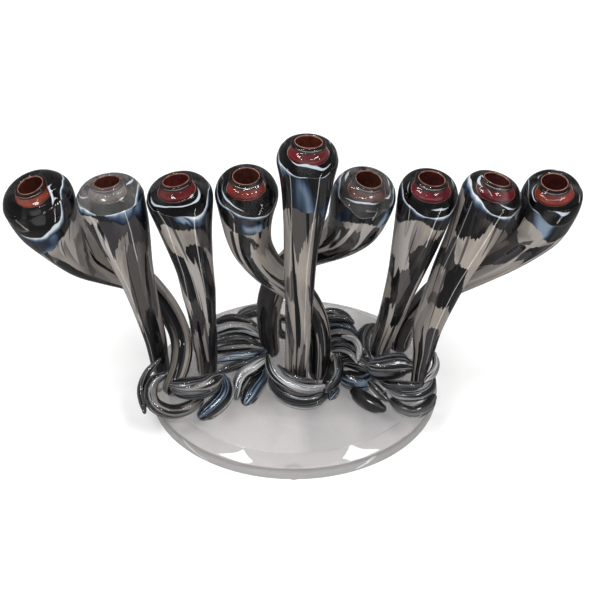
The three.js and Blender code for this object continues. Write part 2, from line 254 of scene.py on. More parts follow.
NONE = (0.0, 0.0, 0.0)
BLACK = (0.006, 0.006, 0.007)
SOOT = (0.022, 0.021, 0.022)
CHARCOAL = (0.042, 0.039, 0.042)
UMBER = (0.082, 0.073, 0.069)
TAUPE = (0.262, 0.235, 0.220)
PALE = (0.40, 0.37, 0.35)
CREAM = (0.39, 0.345, 0.295)
STEEL = (0.17, 0.18, 0.20)
NAVY = (0.010, 0.016, 0.034)
BLUE = (0.055, 0.085, 0.135)
SKY = (0.23, 0.30, 0.385)
WHITE = (0.70, 0.74, 0.77)
CLEAR_HEAD = (0.86, 0.845, 0.845)      # tint of the clear glass of the heads
WHITE_THREAD = (0.50, 0.56, 0.63)      # a white thread, seen through that glass
MAROON = (0.030, 0.014, 0.013)         # a cup's wall above its colour
ROSE_REFLECTION = (0.66, 0.56, 0.54)              # painted reflection: the pale line above a cup's colour
SALMON = (0.46, 0.25, 0.22)            # the colour's thin lower edge
COPPER_HIGHLIGHT = (0.46, 0.27, 0.21)            # a cup's rim, lighter than its wall as a painted highlight on the lip's top
RUST = (0.20, 0.085, 0.065)
CASE_TONES = (0.93, 0.93, 0.93), (0.78, 0.79, 0.81)      # tints of the strands' clear glass
# the plate's grey, and the darker grey of its painted reflection streaks
PLATE_TONES = (0.465, 0.448, 0.440), (0.335, 0.328, 0.333)
BEVEL_TONE = (0.45, 0.435, 0.43)
# painted light on the plate's upright edge
EDGE_LIGHT = (0.80, 0.79, 0.785)
BUMPER_TONES = (0.93, 0.93, 0.93), (0.84, 0.84, 0.84)
# painted shade on a bumper's upright side
BUMPER_SIDE = (0.07, 0.066, 0.064)
FLOOR_TONES = (0.90, 0.90, 0.90), (0.88, 0.88, 0.88)

GLASS_IOR, ACRYLIC_IOR, BUMPER_IOR = 1.5, 1.49, 1.48

# The pattern in the arms, laid on the thick rod. Noise scales are features to a mm of it, and the
# numbers given to step() are the levels of a noise between which one glass gives way to another.
SEED_SHIFT = (37.0, 53.0, 71.0)        # mm between one seed's stretch of the pattern and the next
SHARD_SCALE = (0.064, 0.064, 0.052)    # shards to a mm, across and along the rod
TAUPE_FROM = 0.47                      # the share of the shards that are dark
SHARD_TONES = [(0.0, BLACK), (0.22, CHARCOAL), (0.40, UMBER), (TAUPE_FROM, TAUPE), (0.85, PALE)]
POINTED, THREADED, HAIRY = 56.0, 8.0, 4.5   # mm by which points, threads and hairs are torn out
CREAMY = 0.75                          # how far the taupe glass turns to cream in broad patches
THREAD_SHADE = 0.22                    # strength of the dark threads in the shards
VEIL_SHADE = 0.60                      # strength of the dark veil
DRAWN_STREAKS, DRAWN_LINES = 0.095, 0.09    # how much more of each there is where an arm is thin
LINE_SHADE = 0.8                       # strength of the fine dark lines
COLLAR_TEAR = 0.45                     # the share of the tear that the collar's lower edge takes
WANDER = 2.4                           # mm over which the trim line wanders
BAND_UNEVEN, BAND_LEAST = 3.6, -0.8    # the band's share of its width: noise times one plus two
WISP_STRAY, WISP_LIFT = 13.0, -2.0     # mm of the white loop above the trim line, got the same way
WISP_WIDE, WISP_THIN = 3.2, -1.50      # mm of half its breadth, got the same way
WISP_TOP = -9.0                        # mm below the trim line, so above it, where the loop ends
WISP_FADE = 1.5                        # mm over which it fades out there
SMOKE = -0.24                          # how much the smoke takes off a head's clearness


def arm_material(name, seed, lining, clearness):
    """Clear glass head over a casing of dark and taupe shards that are drawn out down the arm."""
    n = Nodes(name)
    below = n.attribute("below_trim")      # mm below the trim line
    band = n.attribute("band")             # mm of white and blue under that line
    collar_end = n.attribute("collar")     # mm below the mouth where the collar ends
    depth = n.attribute("depth")           # mm below the mouth, along the skin
    drawn = n.attribute("drawn")           # 1 where the arm is thin
    blank = n.attribute("blank", "Vector")
    place = n.vector("ADD", blank, tuple(seed * shift for shift in SEED_SHIFT))
    # the drawing-out of the rod tears the shards' ends to points, threads and hairs
    threads = n.noise(n.stretched(place, 0.06), 0.30, 2.0, 0.6)
    points = n.noise(n.stretched(place, 0.25), 0.060, 0.5)
    hairs = n.noise(n.stretched(place, 0.05), 1.1, 1.0)
    tear = n.math("ADD", n.swing(points, POINTED), n.swing(threads, THREADED))
    tear = n.math("ADD", tear, n.swing(hairs, HAIRY))
    parts = n.add("ShaderNodeSeparateXYZ", {"Vector": place}).outputs
    torn = n.add("ShaderNodeCombineXYZ", {"X": parts[0], "Y": parts[1],
                                          "Z": n.math("ADD", parts[2], tear)}).outputs[0]
    shard = n.add("ShaderNodeTexVoronoi", {"Vector": n.vector("MULTIPLY", torn, SHARD_SCALE),
                                           "Scale": 1.0, "Randomness": 1.0}, distance="EUCLIDEAN")
    pick = n.add("ShaderNodeSeparateColor", {"Color": shard.outputs["Color"]}).outputs[0]
    colour = n.ramp(pick, SHARD_TONES, "CONSTANT")
    # the taupe glass is creamier in broad noisy patches
    warmth = n.step(n.noise(n.stretched(place, 0.7), 0.065, 1.0), 0.44, 0.66)
    is_taupe = n.step(pick, TAUPE_FROM - 0.002, TAUPE_FROM + 0.002)
    creamy = n.math("MULTIPLY", n.math("MULTIPLY", warmth, CREAMY), is_taupe)
    colour = n.mix(creamy, colour, CREAM)
    # darker threads inside the shards
    cloud = n.noise(n.stretched(place, 0.10), 0.30, 3.0, 0.6)
    colour = n.mix(n.math("MULTIPLY", n.step(cloud, 0.50, 0.70), THREAD_SHADE), colour, CHARCOAL)
    # a soft dark veil deeper in the glass
    veil = n.noise(n.stretched(torn, 0.5), 0.10, 1.0)
    colour = n.mix(n.math("MULTIPLY", n.step(veil, 0.53, 0.70), VEIL_SHADE), colour, UMBER)
    # black and pale streaks, and fine dark lines, that gather where the arm is thin
    streak = n.noise(n.stretched(torn, 0.11), 0.14, 1.0)
    streak = n.math("MULTIPLY_ADD", drawn, DRAWN_STREAKS, streak)
    colour = n.mix(n.step(streak, 0.625, 0.633), colour, BLACK)
    colour = n.mix(n.step(streak, 0.355, 0.345), colour, PALE)
    lines = n.noise(n.stretched(place, 0.03), 0.42, 1.0)
    lines = n.math("MULTIPLY_ADD", drawn, DRAWN_LINES, lines)
    colour = n.mix(n.math("MULTIPLY", n.step(lines, 0.680, 0.705), LINE_SHADE), colour, SOOT)
    # dark collar under the clear head, with a torn lower edge and petals of blue in it
    collar_edge = n.math("ADD", collar_end, n.math("MULTIPLY", tear, COLLAR_TEAR))
    collar = n.step(n.math("SUBTRACT", depth, collar_edge), 0.3, -0.3)
    deep = n.mix(n.step(cloud, 0.46, 0.50), BLACK, SOOT)
    petal = n.noise(n.stretched(torn, 0.45), 0.085, 0.5)
    blue = n.ramp(petal, [(0.0, NAVY), (0.62, NAVY), (0.67, BLUE), (0.73, SKY)])
    deep = n.mix(n.step(petal, 0.59, 0.60), deep, blue)
    colour = n.mix(collar, colour, deep)
    # white and blue band along the collar's upper edge
    line = n.math("ADD", below, n.swing(n.noise(place, 0.16, 1.0), WANDER))
    uneven = n.math("MULTIPLY_ADD", n.noise(place, 0.07, 1.0), BAND_UNEVEN, BAND_LEAST)
    band = n.math("MULTIPLY", band, uneven)
    # how far through the band a place is: the threads make its lower edge ragged
    share = n.math("DIVIDE", line, n.math("MAXIMUM", band, 0.2))
    share = n.math("ADD", share, n.swing(threads, 0.7))
    tint = n.ramp(share, [(0.0, WHITE), (0.16, WHITE), (0.34, SKY), (0.62, BLUE), (0.92, NAVY)])
    in_band = n.math("MULTIPLY", n.step(share, 1.03, 0.97), n.step(band, 0.60, 0.90))
    colour = n.mix(in_band, colour, tint)
    # the clear glass above the trim line, with a loop of white thread that floats in it
    clear = n.step(line, 0.05, -0.15)
    drift = n.math("MULTIPLY_ADD", n.noise(place, 0.055, 0.0), WISP_STRAY, WISP_LIFT)
    breadth = n.noise(n.stretched(place, 2.0), 0.09, 0.0)
    breadth = n.math("MULTIPLY_ADD", breadth, WISP_WIDE, WISP_THIN)
    away = n.math("ABSOLUTE", n.math("ADD", line, drift))
    wisp = n.math("MULTIPLY", n.step(n.math("SUBTRACT", away, breadth), 0.0, -0.25), clear)
    wisp = n.math("MULTIPLY", wisp, n.step(line, WISP_TOP, WISP_TOP + WISP_FADE))
    # the casing's inner side, which shows through the clear glass
    inside = n.add("ShaderNodeNewGeometry").outputs["Backfacing"]
    shade = n.math("MULTIPLY", inside, n.math("SUBTRACT", 1.0, clear))
    colour = n.mix(shade, colour, n.mix(n.step(cloud, 0.36, 0.62), SOOT, lining))
    colour = n.mix(clear, colour, CLEAR_HEAD)
    colour = n.mix(wisp, colour, WHITE_THREAD)
    # the clear glass itself is faintly smoky
    smoke = n.noise(n.stretched(place, 0.6), 0.11, 2.0)
    smoke = n.math("MULTIPLY_ADD", smoke, SMOKE, clearness)
    clear = n.math("MULTIPLY", n.math("MULTIPLY", clear, smoke), n.math("SUBTRACT", 1.0, wisp))
    return n.set(Base_Color=colour, Transmission_Weight=clear, Roughness=0.03, IOR=GLASS_IOR,
                 Specular_IOR_Level=0.5, Normal=n.bump(0.05, 0.0008, n.noise(place, 0.09, 0.5)))


RED_TOP, RED_BOTTOM = 3.8, 8.6         # mm below the rim between which a cup's colour lies
REFLECTION_LINE_DEPTH = 3.05                       # mm below the rim, roughly, of the painted reflection line above it
DARKER = 0.40                          # the darkest that a cup's colours get, as a share, in patches and as painted shade down the hole
PAINTED_GLOW = 0.09                         # strength of the painted glow on a cup's outer wall, in place of light shining through it


def darker(colour):
    """The same colour darkened by a share: painted shade down the hole, darker patches on the cup's
    outside.
    """
    return tuple(c * DARKER for c in colour)


def liner_material(name, outer, hole):
    """Red glass cup: colour round its front, which glows as painted light, with a painted
    reflection line above it; painted shade down the hole; a fine coppery rim lightened as a painted
    highlight.
    """
    n = Nodes(name)
    zone = n.attribute("zone")             # 0 outside, 1 on the rim, 2 in the hole
    sink = n.attribute("sink")             # mm below the rim
    scoop = n.attribute("scoop")           # mm by which the colour's lower edge is raised
    spot = n.noise(n.attribute("spot", "Vector"), 0.30, 3.0, 0.6)
    edge = n.math("ADD", n.math("ADD", sink, scoop), n.swing(spot, 2.0))
    red = n.mix(n.step(spot, 0.35, 0.70), outer, darker(outer))
    body = n.mix(n.step(sink, RED_TOP, RED_TOP + 0.4), MAROON, red)
    # painted reflection: a pale line in the clear glass between the rim and the colour, round the
    # cup's front
    wavy = n.math("MULTIPLY_ADD", spot, 0.9, sink)
    line = n.math("ABSOLUTE", n.math("SUBTRACT", wavy, REFLECTION_LINE_DEPTH))
    front = n.step(scoop, 1.6, 0.2)
    body = n.mix(n.math("MULTIPLY", n.step(line, 0.36, 0.22), front), body, ROSE_REFLECTION)
    # the colour's thin paler lower edge, and the dark wall below it
    body = n.mix(n.step(edge, RED_BOTTOM - 0.55, RED_BOTTOM - 0.4), body, SALMON)
    body = n.mix(n.step(edge, RED_BOTTOM - 0.1, RED_BOTTOM + 0.1), body, BLACK)
    # painted shade down the hole, darker still in patches
    well = n.mix(n.step(spot, 0.3, 0.8), hole, darker(hole))
    # the rim: copper lightened as a painted highlight on the lip, darker in patches
    rim = n.mix(n.step(spot, 0.35, 0.65), COPPER_HIGHLIGHT, RUST)
    colour = n.mix(n.step(zone, 0.4, 0.6), body, rim)
    colour = n.mix(n.step(zone, 1.4, 1.6), colour, well)
    # painted glow: the cup's outer wall glows in its own colour, in place of light that comes down
    # the open bore and shines through it
    through = n.mix(n.step(zone, 0.4, 0.6), colour, NONE)
    return n.set(Base_Color=colour, Roughness=0.15, IOR=GLASS_IOR, Emission_Color=through,
                 Emission_Strength=PAINTED_GLOW)


def curl_case_material(name):
    """Clear glass round a strand's coloured core."""
    n = Nodes(name)
    place = n.attribute("blank", "Vector")
    tone = n.mix(n.noise(place, 0.12), *CASE_TONES)
    return n.set(Base_Color=tone, Transmission_Weight=1.0, Roughness=0.02, IOR=GLASS_IOR,
                 Normal=n.bump(0.1, 0.0003, n.noise(place, 0.3)))


def curl_core_material(name, tones):
    """Opaque streaks of colour that run along a drawn strand."""
    n = Nodes(name)
    place = n.attribute("blank", "Vector")
    bend = n.swing(n.noise(n.stretched(place, 0.3), 0.12, 1.0), 0.30)
    streak = n.noise(n.stretched(place, 0.07), 0.155, 1.3)
    colour = n.ramp(n.math("ADD", streak, bend), tones)
    return n.set(Base_Color=colour, Roughness=0.08, IOR=GLASS_IOR)


# Metres below the plate's top where the bevel's tone and the edge's painted light begin, and are at
# their full.
BEVEL_FROM, BEVEL_IN = 0.0002, 0.0006
UPRIGHT_FROM, UPRIGHT_IN = 0.0048, 0.0070


def plate_material(high):
    """Thick clear acrylic: grey on top with painted reflection streaks, even on the bevel, with
    painted light on the upright edge.
    """
    n = Nodes("clear_acrylic")
    place = n.add("ShaderNodeTexCoord").outputs["Object"]
    # painted reflections: soft darker streaks across the grey top, running front to back
    painted_streaks = n.noise(n.vector("MULTIPLY", place, (1.0, 0.10, 1.0)), 38.0, 1.0)
    tone = n.mix(n.step(painted_streaks, 0.43, 0.57), *PLATE_TONES)
    height = n.add("ShaderNodeSeparateXYZ", {"Vector": place}).outputs[2]
    bevel = n.step(height, high - BEVEL_FROM, high - BEVEL_IN)
    tone = n.mix(bevel, tone, BEVEL_TONE)
    # painted light: the upright edge is pale
    upright = n.step(height, high - UPRIGHT_FROM, high - UPRIGHT_IN)
    tone = n.mix(upright, tone, EDGE_LIGHT)
    rough = n.math("MULTIPLY_ADD", painted_streaks, 0.03, 0.015)
    return n.set(Base_Color=tone, Transmission_Weight=0.72, Roughness=rough, IOR=ACRYLIC_IOR)


def bumper_material():
    """Clear soft plastic with painted shade on its upright side, which shows as a ring through the
    plate.
    """
    n = Nodes("clear_bumper")
    place = n.add("ShaderNodeTexCoord").outputs["Object"]
    tone = n.mix(n.noise(place, 900.0, 3.0), *BUMPER_TONES)
    normal = n.add("ShaderNodeNewGeometry").outputs["True Normal"]
    level = n.add("ShaderNodeSeparateXYZ", {"Vector": normal}).outputs[2]
    # painted shade: the upright side is dark
    side = n.step(n.math("ABSOLUTE", level), 0.75, 0.45)
    tone = n.mix(side, tone, BUMPER_SIDE)
    return n.set(Base_Color=tone, Transmission_Weight=0.85, Roughness=0.18,
                 IOR=BUMPER_IOR)


# ---------------------------------------------------------------- arms and sockets
ARM_SIDES = 72
ARM_STEPS = 6           # points to a span of the CAD's centre line
FUSED = 0.55            # mm by which the head's glass closes on the socket liner
BLANK_RADIUS = 14.0     # mm, radius of the thick rod before it was drawn out
PULL = 0.8              # how strongly the pattern is drawn out where the arm is thin
THIN_RADIUS = 7.0       # mm, below which the pattern is drawn out much more
DRAWN_FROM = THIN_RADIUS + 0.8         # mm, radius below which streaks gather
DRAWN_OVER = 2          # mm thinner than that where they are thickest
HEAD_FLARE = 8.0        # mm wider than the mouth where the arm's unevenness is at its full strength
POCKET_SHARES = (0.1, 0.3, 0.55, 0.8, 0.93, 0.955)     # of its depth, for the rings down it

LINER_SIDES = 64
CUP_GAP = 0.2           # mm by which the cup closes the gap to the glass
RIM_EXTRA = 0.35        # mm by which the rim is wider than the bore
COLOUR_RINGS = 20       # rings down the wall where the colour lies
BULGE = 2.0             # mm by which the cup's colour swells out into the clear glass
BULGE_TOP = 2.6         # mm below the rim where that swelling starts
BULGE_LONG = 8.0        # mm over which it swells and dies down
SCOOP = 6.0             # mm by which the colour's lower edge is raised at the cup's sides
SCOOP_FROM, SCOOP_OVER = 0.5, 1.25     # radians off the front where that starts, and how many more

# Colour of each cup's outside, and the painted shade of its hole.
LINER_TONES = {
    "left_outer": ((0.45, 0.060, 0.020), (0.10, 0.028, 0.02)),
    "left_middle": ((0.34, 0.29, 0.26), (0.10, 0.03, 0.022)),
    "left_inner": ((0.26, 0.010, 0.014), (0.12, 0.022, 0.02)),
    "centre_left": ((0.42, 0.030, 0.014), (0.11, 0.035, 0.025)),
    "shamash": ((0.28, 0.004, 0.012), (0.13, 0.03, 0.02)),
    "centre_right": ((0.20, 0.035, 0.025), (0.09, 0.028, 0.022)),
    "right_inner": ((0.24, 0.005, 0.018), (0.09, 0.022, 0.02)),
    "right_middle": ((0.26, 0.004, 0.018), (0.08, 0.022, 0.02)),
    "right_outer": ((0.42, 0.030, 0.012), (0.09, 0.022, 0.02)),
}
# What the clear head lets through of the casing's inner side.
LININGS = {place: (0.11, 0.10, 0.10) for place in PLACES}
LININGS["left_middle"] = LININGS["centre_right"] = (0.80, 0.76, 0.72)
# Which stretch of the endless pattern each arm is cut from, in the order of PLACES.
SEEDS = (1, 2, 3, 15, 5, 6, 7, 16, 14)
# How clear the head's glass is: two are smoky, one is a little so, and the rest are CLEAR.
CLEAR = 1.13
CLEARNESS = {"left_middle": 1.03, "centre_right": 1.075, "centre_left": 1.10}

# Trim under each clear head: rows of the direction round the arm in degrees from the front towards
# the right, the depth of the trim line, the width of its white and blue band, and the collar's
# lower edge, in mm.
TRIMS = {
    "left_outer": [(-90, 14, 0.3, 34), (-40, 24, 0.5, 40), (0, 24, 4.5, 36), (35, 17, 4.5, 30),
                   (75, 8, 2, 24), (180, 12, 0.5, 26)],
    "left_middle": [(-90, 10, 1, 11), (-40, 12, 3.5, 13), (0, 14, 5.5, 15), (40, 13, 6, 17),
                    (80, 8, 2, 34), (180, 11, 0.5, 20)],
    "left_inner": [(-90, 8, 1.2, 22), (-40, 13, 1, 21), (0, 15, 0.9, 22), (35, 17, 5, 26),
                   (80, 10, 0.8, 36), (180, 10, 0.5, 26)],
    "centre_left": [(-90, 8, 1.4, 26), (-40, 13, 1.4, 27), (0, 16, 1.8, 29), (40, 18, 2.4, 30),
                    (80, 12, 0.5, 32), (180, 10, 0.5, 26)],
    "shamash": [(-90, 8, 1, 38), (-50, 12, 5.5, 34), (-15, 15, 2, 32), (30, 15.5, 1.2, 32),
                (55, 12, 0, 36), (85, 8, 1, 38), (180, 10, 0.5, 34)],
    "centre_right": [(-90, 6, 4.5, 30), (-45, 12, 0.5, 26), (0, 14, 0, 22), (45, 12, 0.5, 22),
                     (85, 6, 3, 20), (180, 9, 1, 24)],
    "right_inner": [(-90, 8, 1, 26), (-40, 13, 3.8, 22), (0, 16, 0.7, 22), (40, 15, 4, 26),
                    (85, 9, 0.6, 34), (180, 10, 0.5, 26)],
    "right_middle": [(-90, 5, 8, 16), (-45, 9, 5.5, 18), (0, 14, 0.8, 20), (40, 15, 2.2, 24),
                     (85, 10, 2.4, 34), (180, 10, 0.5, 24)],
    "right_outer": [(-90, 5, 0.8, 18), (-45, 12, 0.6, 20), (0, 17, 0, 28), (45, 16, 0.4, 28),
                    (85, 9, 0.4, 22), (180, 10, 0.5, 24)],
}


def round_the_arm(rows, turns):
    """Depth of trim, width of band and end of collar in each direction, eased between the rows."""
    rows = np.array(sorted(rows), dtype=float)
    ends = np.vstack([rows[-1] - [360, 0, 0, 0], rows, rows[0] + [360, 0, 0, 0]])
    place = np.searchsorted(ends[:, 0], turns, side="right") - 1
    low, high = ends[place], ends[place + 1]
    share = (turns - low[..., 0]) / (high[..., 0] - low[..., 0])
    ease = (1 - np.cos(np.pi * share)) / 2
    return tuple(low[..., k] + (high[..., k] - low[..., k]) * ease for k in (1, 2, 3))


def off_front(points, centres):
    """Angle of each point round its centre line, in radians from the front towards the right."""
    outward = points - centres[:, None, :]
    return np.arctan2(outward[..., 0], -outward[..., 1])


def make_arm(place, number):
    """An arm from its rounded foot up over the lip and down into the pocket for the cup."""
    node = f"arm_{place}"
    rings = rings_of(node)
    outer = rings[1:-3]                       # foot ring up to the lip; the pocket follows
    mouth, well = rings[-3], rings[-2]
    axis = (mouth[:3] - well[:3]) / np.linalg.norm(mouth[:3] - well[:3])
    line = smooth(outer, ARM_STEPS)
    # rounded foot
    tip, foot = rings[0][:3], line[0]
    down = tip - foot[:3]
    bend = np.linspace(0.03, 1.0, 6, endpoint=False) * math.pi / 2
    start = np.array([np.append(foot[:3] + down * (1 - math.sin(b)), foot[3] * math.sin(b))
                      for b in bend])
    # soft lip that rolls over into the pocket, whose wall lies within the cup's with no air between
    lip = line[-1]
    roll = np.linspace(0, math.pi, 8)[1:]
    pocket = mouth[3] - FUSED
    half = (lip[3] - pocket) / 2
    over = np.array([np.append(lip[:3] + axis * half * math.sin(a),
                               pocket + half + half * math.cos(a)) for a in roll])
    inner = np.array([np.append(mouth[:3] + (well[:3] - mouth[:3]) * t, pocket)
                      for t in POCKET_SHARES])
    whole = np.vstack([start, line, over, inner])
    centres, radii = whole[:, :3], whole[:, 3]
    steps, along = travelled(centres)
    # carry directions along the outside, then hold them straight down the pocket
    body = len(start) + len(line)
    across, up = carried(centres[:body])
    across = np.vstack([across, np.repeat(across[-1:], len(whole) - body, 0)])
    up = np.vstack([up, np.repeat(up[-1:], len(whole) - body, 0)])
    phases = RNG.uniform(0, 2 * np.pi, 6)
    flare = np.clip((radii - mouth[3]) / HEAD_FLARE, 0, 1)

    def wobble(turn):
        """Slight unevenness of hand-made glass, as mm on the radius: none at the mouth."""
        swell = (0.010 * np.sin(2 * turn[None] + phases[0] + along[:, None] / 31)
                 + 0.006 * np.sin(3 * turn[None] + phases[1] - along[:, None] / 17))
        ripple = (0.008 * np.sin(along[:, None] / 9 + phases[2])
                  + 0.006 * np.sin(along[:, None] / 5.1 + phases[3]))
        return radii[:, None] * flare[:, None] * (swell + ripple)

    points = around(centres, across, up, radii, ARM_SIDES, wobble)
    # position on the thick rod that the arm was drawn from, and depth below the mouth on the skin
    middle = (radii[1:] + radii[:-1]) / 2
    thin = (middle / BLANK_RADIUS) ** PULL * np.minimum(middle / THIN_RADIUS, 1.0) ** 3
    pulled = np.append(0.0, np.cumsum(steps * thin))
    pulled = pulled[body - 1] - pulled
    run = np.append(0.0, np.cumsum(np.hypot(steps, np.diff(radii))))
    depth = np.abs(run[body - 1] - run)
    depths = np.repeat(depth[:, None], ARM_SIDES, 1)
    depths[body + len(over):] = 0.0           # the pocket is clear glass all the way down
    turn = full_turn(ARM_SIDES)[None] + RNG.uniform(-0.02, 0.02) * pulled[:, None]
    drawn = np.clip((DRAWN_FROM - radii) / DRAWN_OVER, 0, 1)
    drawn = np.repeat(drawn[:, None], ARM_SIDES, 1)
    compass = np.degrees(off_front(points, centres))
    trim, band, collar = round_the_arm(TRIMS[place], compass)
    cased = arm_material(f"cased_glass_{place}", SEEDS[number], LININGS[place],
                         CLEARNESS.get(place, CLEAR))
    piece = skin(f"glass_{node}", points, cased,
                 {"blank": on_rod(turn, pulled, BLANK_RADIUS), "depth": depths,
                  "below_trim": depths - trim, "band": band, "collar": collar, "drawn": drawn})
    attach(piece, "root")
    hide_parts(node)
    return axis, across[-1], up[-1]


def make_liner(place, axis, across, up):
    """A cup in its arm's head: closed bottom, outer wall with its swollen colour, rim and bore."""
    node = f"socket_liner_{place}"
    # bottom, outer low and high, bore high and low, bottom
    rings = rings_of(node)
    outer, bore = rings[1][3], rings[3][3]
    bottom, rim, well = rings[1][:3], rings[2][:3], rings[4][:3]
    outside = outer + CUP_GAP
    crown = bore + RIM_EXTRA                  # the rim is drawn thinner than the cup's wall
    wall = (crown - bore) / 2
    # rows of centre, radius and zone: 0 outside, 1 on the rim, 2 in the hole
    profile = [(bottom, outside * 0.3, 0), (bottom, outside * 0.85, 0),
               (bottom + axis * 1.0, outside, 0)]
    height = np.linalg.norm(rim - bottom)
    for low in np.linspace(height * 0.82, 1.8, COLOUR_RINGS):
        share = min(max((low - BULGE_TOP) / BULGE_LONG, 0.0), 1.0)
        profile.append((rim - axis * low, outside + BULGE * math.sin(math.pi * share) ** 2, 0))
    profile += [(rim - axis * 0.9, crown + 0.25, 0), (rim - axis * 0.4, crown, 0)]
    for a in np.linspace(0, math.pi, 9):
        profile.append((rim - axis * wall + axis * wall * math.sin(a),
                        bore + wall + wall * math.cos(a), 1))
    profile += [(rim + (well - rim) * t, bore, 2) for t in (0.06, 0.12, 0.3, 0.6, 0.9)]
    profile += [(well - axis * 0.3, bore * 0.85, 2), (well - axis * 0.5, bore * 0.4, 2)]
    centres = np.array([p[0] for p in profile])
    radii = np.array([p[1] for p in profile])
    zone = np.repeat(np.array([float(p[2]) for p in profile])[:, None], LINER_SIDES, 1)
    sink = np.repeat(((rim - centres) @ axis)[:, None], LINER_SIDES, 1)
    points = around(centres, np.repeat(across[None], len(profile), 0),
                    np.repeat(up[None], len(profile), 0), radii, LINER_SIDES)
    # the colour reaches deepest at the front of the cup and thins out round its sides
    aside = np.abs(off_front(points, centres))
    scoop = SCOOP * np.clip((aside - SCOOP_FROM) / SCOOP_OVER, 0.0, 1.0) ** 1.5
    cup = liner_material(f"socket_glass_{place}", *LINER_TONES[place])
    piece = skin(f"glass_{node}", points, cup,
                 {"zone": zone, "sink": sink, "scoop": scoop, "spot": points})
    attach(piece, "root")
    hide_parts(node)


for number, place in enumerate(PLACES):
    make_liner(place, *make_arm(place, number))


# ---------------------------------------------------------------- curls
STRIPES = {
    "dark": [(0.40, BLACK), (0.44, STEEL), (0.475, BLACK), (0.545, SOOT), (0.57, STEEL),
             (0.59, BLACK), (0.615, PALE), (0.64, BLACK)],
    "blue": [(0.40, BLACK), (0.44, BLUE), (0.465, SKY), (0.49, NAVY), (0.52, BLACK), (0.55, BLUE),
             (0.575, SKY), (0.60, WHITE), (0.63, NAVY)],
    "pale": [(0.37, BLACK), (0.41, STEEL), (0.47, PALE), (0.55, WHITE), (0.57, SOOT),
             (0.62, BLACK)],
    "grey": [(0.40, BLACK), (0.44, STEEL), (0.49, TAUPE), (0.535, TAUPE), (0.55, SOOT),
             (0.60, BLACK)],
}
# Each group of strands in its order, with the stripes of each.
CURL_TONES = {
    "left_curl": ("dark", "grey", "dark", "blue"),
    "left_gap_curl": ("pale", "dark", "pale", "dark", "grey", "blue", "pale", "blue", "dark"),
    "centre_curl": ("pale", "dark", "dark", "blue", "dark", "dark"),
    "right_gap_curl": ("grey", "blue", "grey", "dark", "grey", "dark", "blue", "grey", "grey",
                       "dark", "pale"),
    "right_curl": ("dark", "pale", "dark", "pale", "dark", "dark"),
}
CURL_SIDES = 32
CURL_STEPS = 5          # points to a span of the CAD's centre line
CURL_ROD = 5            # mm, radius of the rod that a strand's stripes are laid on
CORE_SHARE = 0.70       # radius of the coloured core as a share of the strand's
CLEAR_SHARE = 0.48      # the same for the strands with the most clear glass
CLEARER = ("left_curl_4", "left_gap_curl_8", "centre_curl_2", "centre_curl_4",
           "right_gap_curl_8", "right_curl_3", "right_curl_4")
SWELL = 1.16            # the hot strands sag against each other, past the CAD's gaps
BLUNT = 0.55            # how much of the CAD strand's taper is left in the soft glass
TAIL = 3.0              # mm by which a strand's rounded end reaches in among its neighbours
TAIL_TIP = 0.04         # how fine that end gets, as a share of the last ring
CASE = curl_case_material("clear_strand")
CORES = {key: curl_core_material(f"strand_colour_{key}", tones) for key, tones in STRIPES.items()}


def strand_tail(end, before):
    """Rows that carry a strand on past its last ring to a fine point."""
    along = end[:3] - before[:3]
    along /= np.linalg.norm(along)
    shares = np.linspace(0.0, 1.0, 7)[1:]
    return np.array([np.append(end[:3] + along * TAIL * t,
                               end[3] * max(math.sqrt(1 - t * t), TAIL_TIP)) for t in shares])


def make_curl(node, tone):
    """A strand of glass: a clear case round a coloured core."""
    line = smooth(rings_of(node)[1:-1], CURL_STEPS)
    fat = line[:, 3].max()
    line[:, 3] = SWELL * fat * (line[:, 3] / fat) ** BLUNT
    tails = strand_tail(line[0], line[1])[::-1], strand_tail(line[-1], line[-2])
    whole = np.vstack([tails[0], line, tails[1]])
    centres, radii = whole[:, :3], whole[:, 3]
    across, up = carried(centres)
    along = travelled(centres)[1]
    offset = RNG.uniform(0, 400, 3)
    turn = full_turn(CURL_SIDES)[None] + RNG.uniform(-0.05, 0.05) * along[:, None]
    blank = on_rod(turn, along, CURL_ROD) + offset
    share = CLEAR_SHARE if node in CLEARER else CORE_SHARE
    case = skin(f"glass_{node}", around(centres, across, up, radii, CURL_SIDES), CASE,
                {"blank": blank})
    core = skin(f"strand_{node}", around(centres, across, up, radii * share, CURL_SIDES),
                CORES[tone], {"blank": blank})
    case.visible_shadow = False
    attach(case, "root")
    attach(core, "root")
    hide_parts(node)


for group, tones in CURL_TONES.items():
    for index, tone in enumerate(tones, 1):
        make_curl(f"{group}_{index}", tone)


# ---------------------------------------------------------------- plate and bumpers
PLATE_LOW, PLATE_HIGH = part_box("base_plate")
PLATE = plate_material(PLATE_HIGH.z)
BUMPER = bumper_material()
PLATE_SIDES, BUMPER_SIDES = 192, 48
PLATE_THICK = 11.5      # mm
PLATE_EDGE = 3.2        # mm, height of the upright edge below the bevel
BEVEL_WIDE = 8.5        # mm
PLATE_INSIDE = 60.0     # mm from the edge where the flat top and foot are closed off
# Bevel of the plate: shares of its height and of its width, from the upright edge to the top.
BEVEL = [(0.0, 0.0), (0.20, 0.02), (0.36, 0.06), (0.44, 0.11), (0.49, 0.17), (0.52, 0.23),
         (0.75, 0.60), (0.96, 0.93), (0.985, 0.965), (0.997, 0.985), (1.0, 1.0)]
# Section of a bumper in mm, above its foot and in from its edge, from its foot round to its top.
BUMPER_PROFILE = [(0.0, 4.2), (0.0, 1.2), (0.12, 0.9), (0.6, 0.35), (1.2, 0.0), (2.3, 0.0),
                  (2.6, 0.12), (2.7, 0.5), (2.7, 4.2)]


